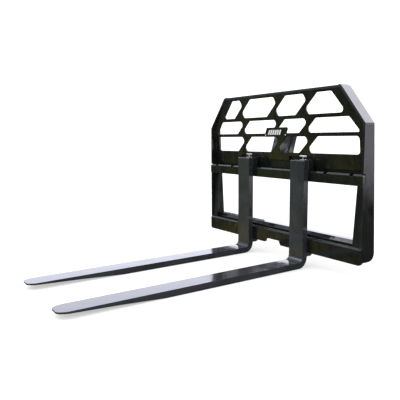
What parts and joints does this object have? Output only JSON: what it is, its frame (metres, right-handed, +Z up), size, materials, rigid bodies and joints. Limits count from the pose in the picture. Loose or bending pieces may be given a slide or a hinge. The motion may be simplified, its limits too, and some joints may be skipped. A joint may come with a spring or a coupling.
{
  "type": "pallet fork attachment",
  "caption": "Skid-steer pallet fork attachment: welded frame with a slotted guard, two L-shaped forks that hook on and slide along the bars, spring latches and a rear coupler.",
  "frame": {"origin": "under the middle of the object's box, on the ground that the fork blades rest on", "axes": "+X to the right of someone facing the forks, +Y towards the loader (the blades point to -Y), +Z up"},
  "size_m": [1.15, 1.3471, 0.878],
  "materials": {
    "frame_paint": "gloss",
    "guard_paint": "gloss",
    "brace_paint": "satin",
    "fork_paint": "gloss",
    "hook_paint": "satin",
    "bright_metal": "satin",
    "zinc": "bright",
    "spring_steel": "satin"
  },
  "bodies": {
    "frame": {"side_plate_left": "frame_paint", "side_plate_right": "frame_paint", "rim_corner_left": "frame_paint", "rim_corner_right": "frame_paint", "rim_top": "frame_paint", "guard_plate": "guard_paint", "badge_carrier": "guard_paint", "badge_face": "guard_paint", "badge_rivet_left": "bright_metal", "badge_rivet_right": "bright_metal", "upper_fork_bar": "frame_paint", "lower_fork_bar": "frame_paint", "bar_ledge": "frame_paint", "coupler_top_rail": "frame_paint", "coupler_hook": "frame_paint", "lower_cross_member": "frame_paint", "coupler_foot": "frame_paint", "foot_rib_left": "frame_paint", "foot_rib_right": "frame_paint", "side_flange_left": "frame_paint", "side_flange_right": "frame_paint", "centre_brace": "brace_paint", "brace_rib_left": "brace_paint", "brace_rib_right": "brace_paint"},
    "fork_left_body": {"fork_left": "fork_paint", "top_hook_left": "hook_paint", "bottom_hook_left": "hook_paint", "latch_bush_left": "zinc", "latch_spring_left": "spring_steel"},
    "latch_lift_left": {"latch_collar_left": "zinc"},
    "latch_turn_left": {"latch_pin_left": "zinc", "latch_handle_left": "zinc"},
    "fork_right_body": {"fork_right": "fork_paint", "top_hook_right": "hook_paint", "bottom_hook_right": "hook_paint", "latch_bush_right": "zinc", "latch_spring_right": "spring_steel"},
    "latch_lift_right": {"latch_collar_right": "zinc"},
    "latch_turn_right": {"latch_pin_right": "zinc", "latch_handle_right": "zinc"}
  },
  "joints": [
    {"name": "fork_left_slide", "type": "slide", "parent": "frame", "child": "fork_left_body", "axis": [1, 0, 0], "range_m": [-0.304, 0.152]},
    {"name": "latch_left_lift", "type": "slide", "parent": "fork_left_body", "child": "latch_lift_left", "axis": [0, 0, 1], "range_m": [-0.01, 0], "deforming": ["latch_spring_left"]},
    {"name": "latch_left_turn", "type": "hinge", "parent": "latch_lift_left", "child": "latch_turn_left", "pos_m": [-0.209, 0.5878, 0.5372], "axis": [0, 0, 1], "range_deg": [0, 90]},
    {"name": "fork_right_slide", "type": "slide", "parent": "frame", "child": "fork_right_body", "axis": [-1, 0, 0], "range_m": [-0.304, 0.152]},
    {"name": "latch_right_lift", "type": "slide", "parent": "fork_right_body", "child": "latch_lift_right", "axis": [0, 0, 1], "range_m": [-0.01, 0], "deforming": ["latch_spring_right"]},
    {"name": "latch_right_turn", "type": "hinge", "parent": "latch_lift_right", "child": "latch_turn_right", "pos_m": [0.209, 0.5878, 0.5372], "axis": [0, 0, 1], "range_deg": [0, 90]}
  ]
}
